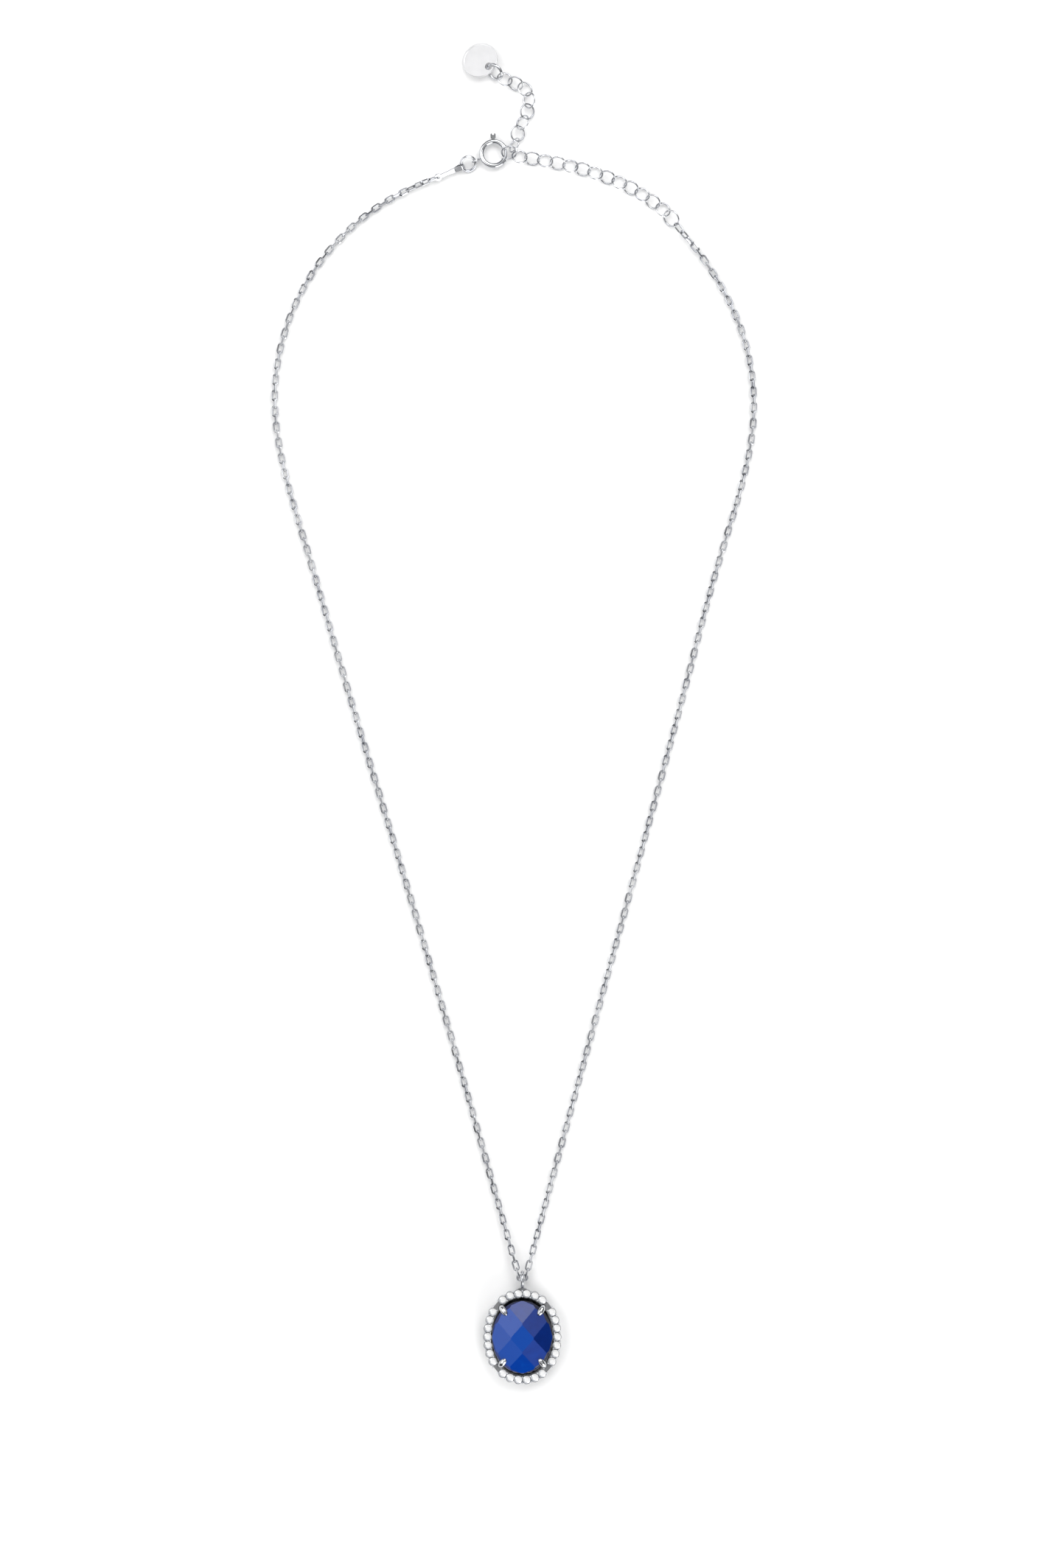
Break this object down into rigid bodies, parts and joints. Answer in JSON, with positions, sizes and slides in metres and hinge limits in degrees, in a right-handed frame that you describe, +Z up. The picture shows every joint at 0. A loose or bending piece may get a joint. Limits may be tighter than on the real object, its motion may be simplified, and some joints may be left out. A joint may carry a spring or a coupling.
{
  "type": "pendant necklace",
  "caption": "Fine cable chain with an oval halo pendant on a bail, a spring ring clasp, and a ring extender that ends in a round tag.",
  "frame": {"origin": "middle of the bounding box, on the surface that the necklace lies on", "axes": "+X right, +Y from the pendant towards the clasp, +Z up from the surface"},
  "size_m": [0.0818, 0.2253, 0.0048],
  "materials": {
    "silver": "polished, rhodium plated",
    "chain_silver": "polished, diamond cut",
    "spring_steel": "drawn wire",
    "blue_stone": "polished facets",
    "clear_stone": "polished facets"
  },
  "bodies": {
    "pendant": {"halo_frame": "silver", "back_gallery": "silver", "claws": "silver", "centre_stone": "blue_stone", "halo_stones": "clear_stone", "bail_ring": "silver"},
    "centre_link": {"centre_link": "chain_silver"},
    "chain_left_01": {"chain_left_01": "chain_silver"},
    "chain_left_02": {"chain_left_02": "chain_silver"},
    "chain_left_03": {"chain_left_03": "chain_silver"},
    "chain_left_04": {"chain_left_04": "chain_silver"},
    "chain_left_05": {"chain_left_05": "chain_silver"},
    "chain_left_06": {"chain_left_06": "chain_silver"},
    "chain_left_07": {"chain_left_07": "chain_silver"},
    "chain_left_08": {"chain_left_08": "chain_silver"},
    "chain_left_09": {"chain_left_09": "chain_silver"},
    "chain_left_10": {"chain_left_10": "chain_silver"},
    "chain_right_01": {"chain_right_01": "chain_silver"},
    "chain_right_02": {"chain_right_02": "chain_silver"},
    "chain_right_03": {"chain_right_03": "chain_silver"},
    "chain_right_04": {"chain_right_04": "chain_silver"},
    "chain_right_05": {"chain_right_05": "chain_silver"},
    "chain_right_06": {"chain_right_06": "chain_silver"},
    "chain_right_07": {"chain_right_07": "chain_silver"},
    "chain_right_08": {"chain_right_08": "chain_silver"},
    "chain_right_09": {"chain_right_09": "chain_silver"},
    "end_tab": {"end_tab": "silver"},
    "clasp_jump_ring": {"clasp_jump_ring": "silver"},
    "clasp": {"clasp_tube": "silver", "clasp_eye": "silver", "clasp_spring": "spring_steel"},
    "clasp_bolt": {"clasp_bolt": "silver"},
    "end_link": {"end_link": "silver"},
    "end_ring": {"end_ring": "silver"},
    "extender_ring_01": {"extender_ring_01": "silver", "extender_ring_02": "silver", "extender_ring_03": "silver"},
    "extender_ring_04": {"extender_ring_04": "silver", "extender_ring_05": "silver", "extender_ring_06": "silver"},
    "extender_ring_07": {"extender_ring_07": "silver", "extender_ring_08": "silver", "extender_ring_09": "silver"},
    "extender_ring_10": {"extender_ring_10": "silver"},
    "extender_ring_11": {"extender_ring_11": "silver"},
    "extender_ring_12": {"extender_ring_12": "silver"},
    "extender_ring_13": {"extender_ring_13": "silver"},
    "hooked_ring": {"hooked_ring": "silver"},
    "tail_ring_01": {"tail_ring_01": "silver"},
    "tail_ring_02": {"tail_ring_02": "silver"},
    "tail_ring_03": {"tail_ring_03": "silver"},
    "tail_ring_04": {"tail_ring_04": "silver"},
    "tail_ring_05": {"tail_ring_05": "silver"},
    "tail_ring_06": {"tail_ring_06": "silver"},
    "tail_ring_07": {"tail_ring_07": "silver"},
    "tail_ring_08": {"tail_ring_08": "silver"},
    "tag_jump_ring": {"tag_jump_ring": "silver"},
    "tag": {"tag": "silver"}
  },
  "joints": [
    {"name": "pendant_swing", "type": "hinge", "parent": "pendant", "child": "centre_link", "pos_m": [0.00125, -0.0948, 0.0019], "axis": [1, 0, 0], "range_deg": [0, 90]},
    {"name": "chain_left_01_swing", "type": "hinge", "parent": "centre_link", "child": "chain_left_01", "pos_m": [0.00072, -0.09485, 0.00192], "axis": [0, 0, 1], "range_deg": [0, 20]},
    {"name": "chain_left_02_lift", "type": "hinge", "parent": "chain_left_01", "child": "chain_left_02", "pos_m": [-0.00518, -0.07404, 0.00063], "axis": [0.9626, 0.2711, 0], "range_deg": [0, 20]},
    {"name": "chain_left_03_swing", "type": "hinge", "parent": "chain_left_02", "child": "chain_left_03", "pos_m": [-0.01092, -0.05386, 0.00057], "axis": [0, 0, 1], "range_deg": [0, 20]},
    {"name": "chain_left_04_lift", "type": "hinge", "parent": "chain_left_03", "child": "chain_left_04", "pos_m": [-0.01698, -0.03304, 0.00059], "axis": [0.959, 0.2834, 0], "range_deg": [0, 20]},
    {"name": "chain_left_05_swing", "type": "hinge", "parent": "chain_left_04", "child": "chain_left_05", "pos_m": [-0.02302, -0.01295, 0.0006], "axis": [0, 0, 1], "range_deg": [0, 20]},
    {"name": "chain_left_06_lift", "type": "hinge", "parent": "chain_left_05", "child": "chain_left_06", "pos_m": [-0.02923, 0.00782, 0.0006], "axis": [0.9599, 0.2804, 0], "range_deg": [0, 20]},
    {"name": "chain_left_07_swing", "type": "hinge", "parent": "chain_left_06", "child": "chain_left_07", "pos_m": [-0.03509, 0.02797, 0.0006], "axis": [0, 0, 1], "range_deg": [0, 20]},
    {"name": "chain_left_08_lift", "type": "hinge", "parent": "chain_left_07", "child": "chain_left_08", "pos_m": [-0.03988, 0.04635, 0.0006], "axis": [0.9855, 0.1694, 0], "range_deg": [0, 30]},
    {"name": "chain_left_09_swing", "type": "hinge", "parent": "chain_left_08", "child": "chain_left_09", "pos_m": [-0.03862, 0.06446, 0.0006], "axis": [0, 0, 1], "range_deg": [0, 20]},
    {"name": "chain_left_10_lift", "type": "hinge", "parent": "chain_left_09", "child": "chain_left_10", "pos_m": [-0.02882, 0.08053, 0.00059], "axis": [0.716, -0.6981, 0], "range_deg": [0, 30]},
    {"name": "chain_right_01_swing", "type": "hinge", "parent": "centre_link", "child": "chain_right_01", "pos_m": [0.00178, -0.09485, 0.00192], "axis": [0, 0, 1], "range_deg": [-20, 0]},
    {"name": "chain_right_02_lift", "type": "hinge", "parent": "chain_right_01", "child": "chain_right_02", "pos_m": [0.00746, -0.07399, 0.00061], "axis": [0.9649, -0.2625, 0], "range_deg": [0, 20]},
    {"name": "chain_right_03_swing", "type": "hinge", "parent": "chain_right_02", "child": "chain_right_03", "pos_m": [0.01296, -0.05375, 0.0006], "axis": [0, 0, 1], "range_deg": [-20, 0]},
    {"name": "chain_right_04_lift", "type": "hinge", "parent": "chain_right_03", "child": "chain_right_04", "pos_m": [0.01864, -0.03284, 0.0006], "axis": [0.965, -0.2623, 0], "range_deg": [0, 20]},
    {"name": "chain_right_05_swing", "type": "hinge", "parent": "chain_right_04", "child": "chain_right_05", "pos_m": [0.02414, -0.0126, 0.0006], "axis": [0, 0, 1], "range_deg": [-20, 0]},
    {"name": "chain_right_06_lift", "type": "hinge", "parent": "chain_right_05", "child": "chain_right_06", "pos_m": [0.0297, 0.00835, 0.0006], "axis": [0.9682, -0.2501, 0], "range_deg": [0, 20]},
    {"name": "chain_right_07_swing", "type": "hinge", "parent": "chain_right_06", "child": "chain_right_07", "pos_m": [0.03524, 0.02858, 0.0006], "axis": [0, 0, 1], "range_deg": [-20, 0]},
    {"name": "chain_right_08_lift", "type": "hinge", "parent": "chain_right_07", "child": "chain_right_08", "pos_m": [0.0399, 0.04698, 0.0006], "axis": [0.9899, -0.1418, 0], "range_deg": [0, 30]},
    {"name": "chain_right_09_swing", "type": "hinge", "parent": "chain_right_08", "child": "chain_right_09", "pos_m": [0.03793, 0.06501, 0.00059], "axis": [0, 0, 1], "range_deg": [-20, 0]},
    {"name": "end_tab_turn", "type": "hinge", "parent": "chain_left_10", "child": "end_tab", "pos_m": [-0.01301, 0.09012, 0.00095], "axis": [0.2391, -0.537, 0.809], "range_deg": [0, 90]},
    {"name": "clasp_jump_ring_roll", "type": "hinge", "parent": "end_tab", "child": "clasp_jump_ring", "pos_m": [-0.00899, 0.09191, 0.00095], "axis": [0.9715, 0.2368, 0], "range_deg": [0, 8]},
    {"name": "clasp_turn", "type": "hinge", "parent": "clasp_jump_ring", "child": "clasp", "pos_m": [-0.00674, 0.09287, 0.00095], "axis": [0.9866, 0.163, 0], "range_deg": [0, 6]},
    {"name": "clasp_bolt_slide", "type": "hinge", "parent": "clasp", "child": "clasp_bolt", "pos_m": [-0.00357, 0.09415, 0.00095], "axis": [0, 0, 1], "range_deg": [0, 60], "stiffness_Nm_per_rad": 0.0002, "springref_deg": -20.05},
    {"name": "end_link_turn", "type": "hinge", "parent": "chain_right_09", "child": "end_link", "pos_m": [0.02797, 0.08104, 0.00118], "axis": [0.5266, 0.375, 0.7629], "range_deg": [0, 60]},
    {"name": "end_ring_lift", "type": "hinge", "parent": "end_link", "child": "end_ring", "pos_m": [0.02707, 0.08221, 0.00116], "axis": [0.788, 0.6157, 0], "range_deg": [0, 18]},
    {"name": "extender_ring_01_lift", "type": "hinge", "parent": "end_ring", "child": "extender_ring_01", "pos_m": [0.02555, 0.08401, 0.00108], "axis": [0.7311, 0.6823, 0], "range_deg": [0, 20]},
    {"name": "extender_ring_04_lift", "type": "hinge", "parent": "extender_ring_01", "child": "extender_ring_04", "pos_m": [0.02046, 0.0878, 0.00102], "axis": [0.4974, 0.8675, 0], "range_deg": [0, 25]},
    {"name": "extender_ring_07_lift", "type": "hinge", "parent": "extender_ring_04", "child": "extender_ring_07", "pos_m": [0.01454, 0.0905, 0.00102], "axis": [0.3348, 0.9423, 0], "range_deg": [0, 40]},
    {"name": "extender_ring_10_lift", "type": "hinge", "parent": "extender_ring_07", "child": "extender_ring_10", "pos_m": [0.00827, 0.09227, 0.00102], "axis": [0.2179, 0.976, 0], "range_deg": [0, 54]},
    {"name": "extender_ring_11_roll", "type": "hinge", "parent": "extender_ring_10", "child": "extender_ring_11", "pos_m": [0.00615, 0.09272, 0.00102], "axis": [0.9915, -0.1296, 0.009], "range_deg": [0, 30]},
    {"name": "extender_ring_12_roll", "type": "hinge", "parent": "extender_ring_11", "child": "extender_ring_12", "pos_m": [0.00401, 0.0931, 0.00102], "axis": [0.9937, -0.111, 0.0125], "range_deg": [0, 30]},
    {"name": "extender_ring_13_roll", "type": "hinge", "parent": "extender_ring_12", "child": "extender_ring_13", "pos_m": [0.00186, 0.09344, 0.00102], "axis": [0.9964, -0.0823, 0.0203], "range_deg": [0, 30]},
    {"name": "hooked_ring_roll", "type": "hinge", "parent": "extender_ring_13", "child": "hooked_ring", "pos_m": [-0.00008, 0.09397, 0.00106], "axis": [0.9844, 0.1599, 0.0729], "range_deg": [0, 20]},
    {"name": "tail_ring_01_swing", "type": "hinge", "parent": "hooked_ring", "child": "tail_ring_01", "pos_m": [-0.00052, 0.09492, 0.00118], "axis": [0, 0, 1], "range_deg": [-15, 15]},
    {"name": "tail_ring_02_swing", "type": "hinge", "parent": "tail_ring_01", "child": "tail_ring_02", "pos_m": [0.00018, 0.09651, 0.00115], "axis": [0, 0, -1], "range_deg": [-15, 15]},
    {"name": "tail_ring_03_swing", "type": "hinge", "parent": "tail_ring_02", "child": "tail_ring_03", "pos_m": [0.00088, 0.09842, 0.00105], "axis": [0, 0, 1], "range_deg": [-15, 15]},
    {"name": "tail_ring_04_swing", "type": "hinge", "parent": "tail_ring_03", "child": "tail_ring_04", "pos_m": [0.00168, 0.10028, 0.00105], "axis": [0, 0, -1], "range_deg": [-15, 15]},
    {"name": "tail_ring_05_swing", "type": "hinge", "parent": "tail_ring_04", "child": "tail_ring_05", "pos_m": [0.00223, 0.10215, 0.00105], "axis": [0, 0, 1], "range_deg": [-15, 15]},
    {"name": "tail_ring_06_swing", "type": "hinge", "parent": "tail_ring_05", "child": "tail_ring_06", "pos_m": [0.00205, 0.10403, 0.00105], "axis": [0, 0, -1], "range_deg": [-15, 15]},
    {"name": "tail_ring_07_swing", "type": "hinge", "parent": "tail_ring_06", "child": "tail_ring_07", "pos_m": [0.0009, 0.10543, 0.00108], "axis": [0, 0, 1], "range_deg": [-15, 15]},
    {"name": "tail_ring_08_swing", "type": "hinge", "parent": "tail_ring_07", "child": "tail_ring_08", "pos_m": [-0.0008, 0.10625, 0.00115], "axis": [0, 0, -1], "range_deg": [-15, 15]},
    {"name": "tag_jump_ring_swing", "type": "hinge", "parent": "tail_ring_08", "child": "tag_jump_ring", "pos_m": [-0.00249, 0.10716, 0.00132], "axis": [0, 0, 1], "range_deg": [-15, 15]},
    {"name": "tag_swing", "type": "hinge", "parent": "tag_jump_ring", "child": "tag", "pos_m": [-0.00447, 0.1087, 0.00145], "axis": [0, 0, 1], "range_deg": [-15, 15]}
  ]
}
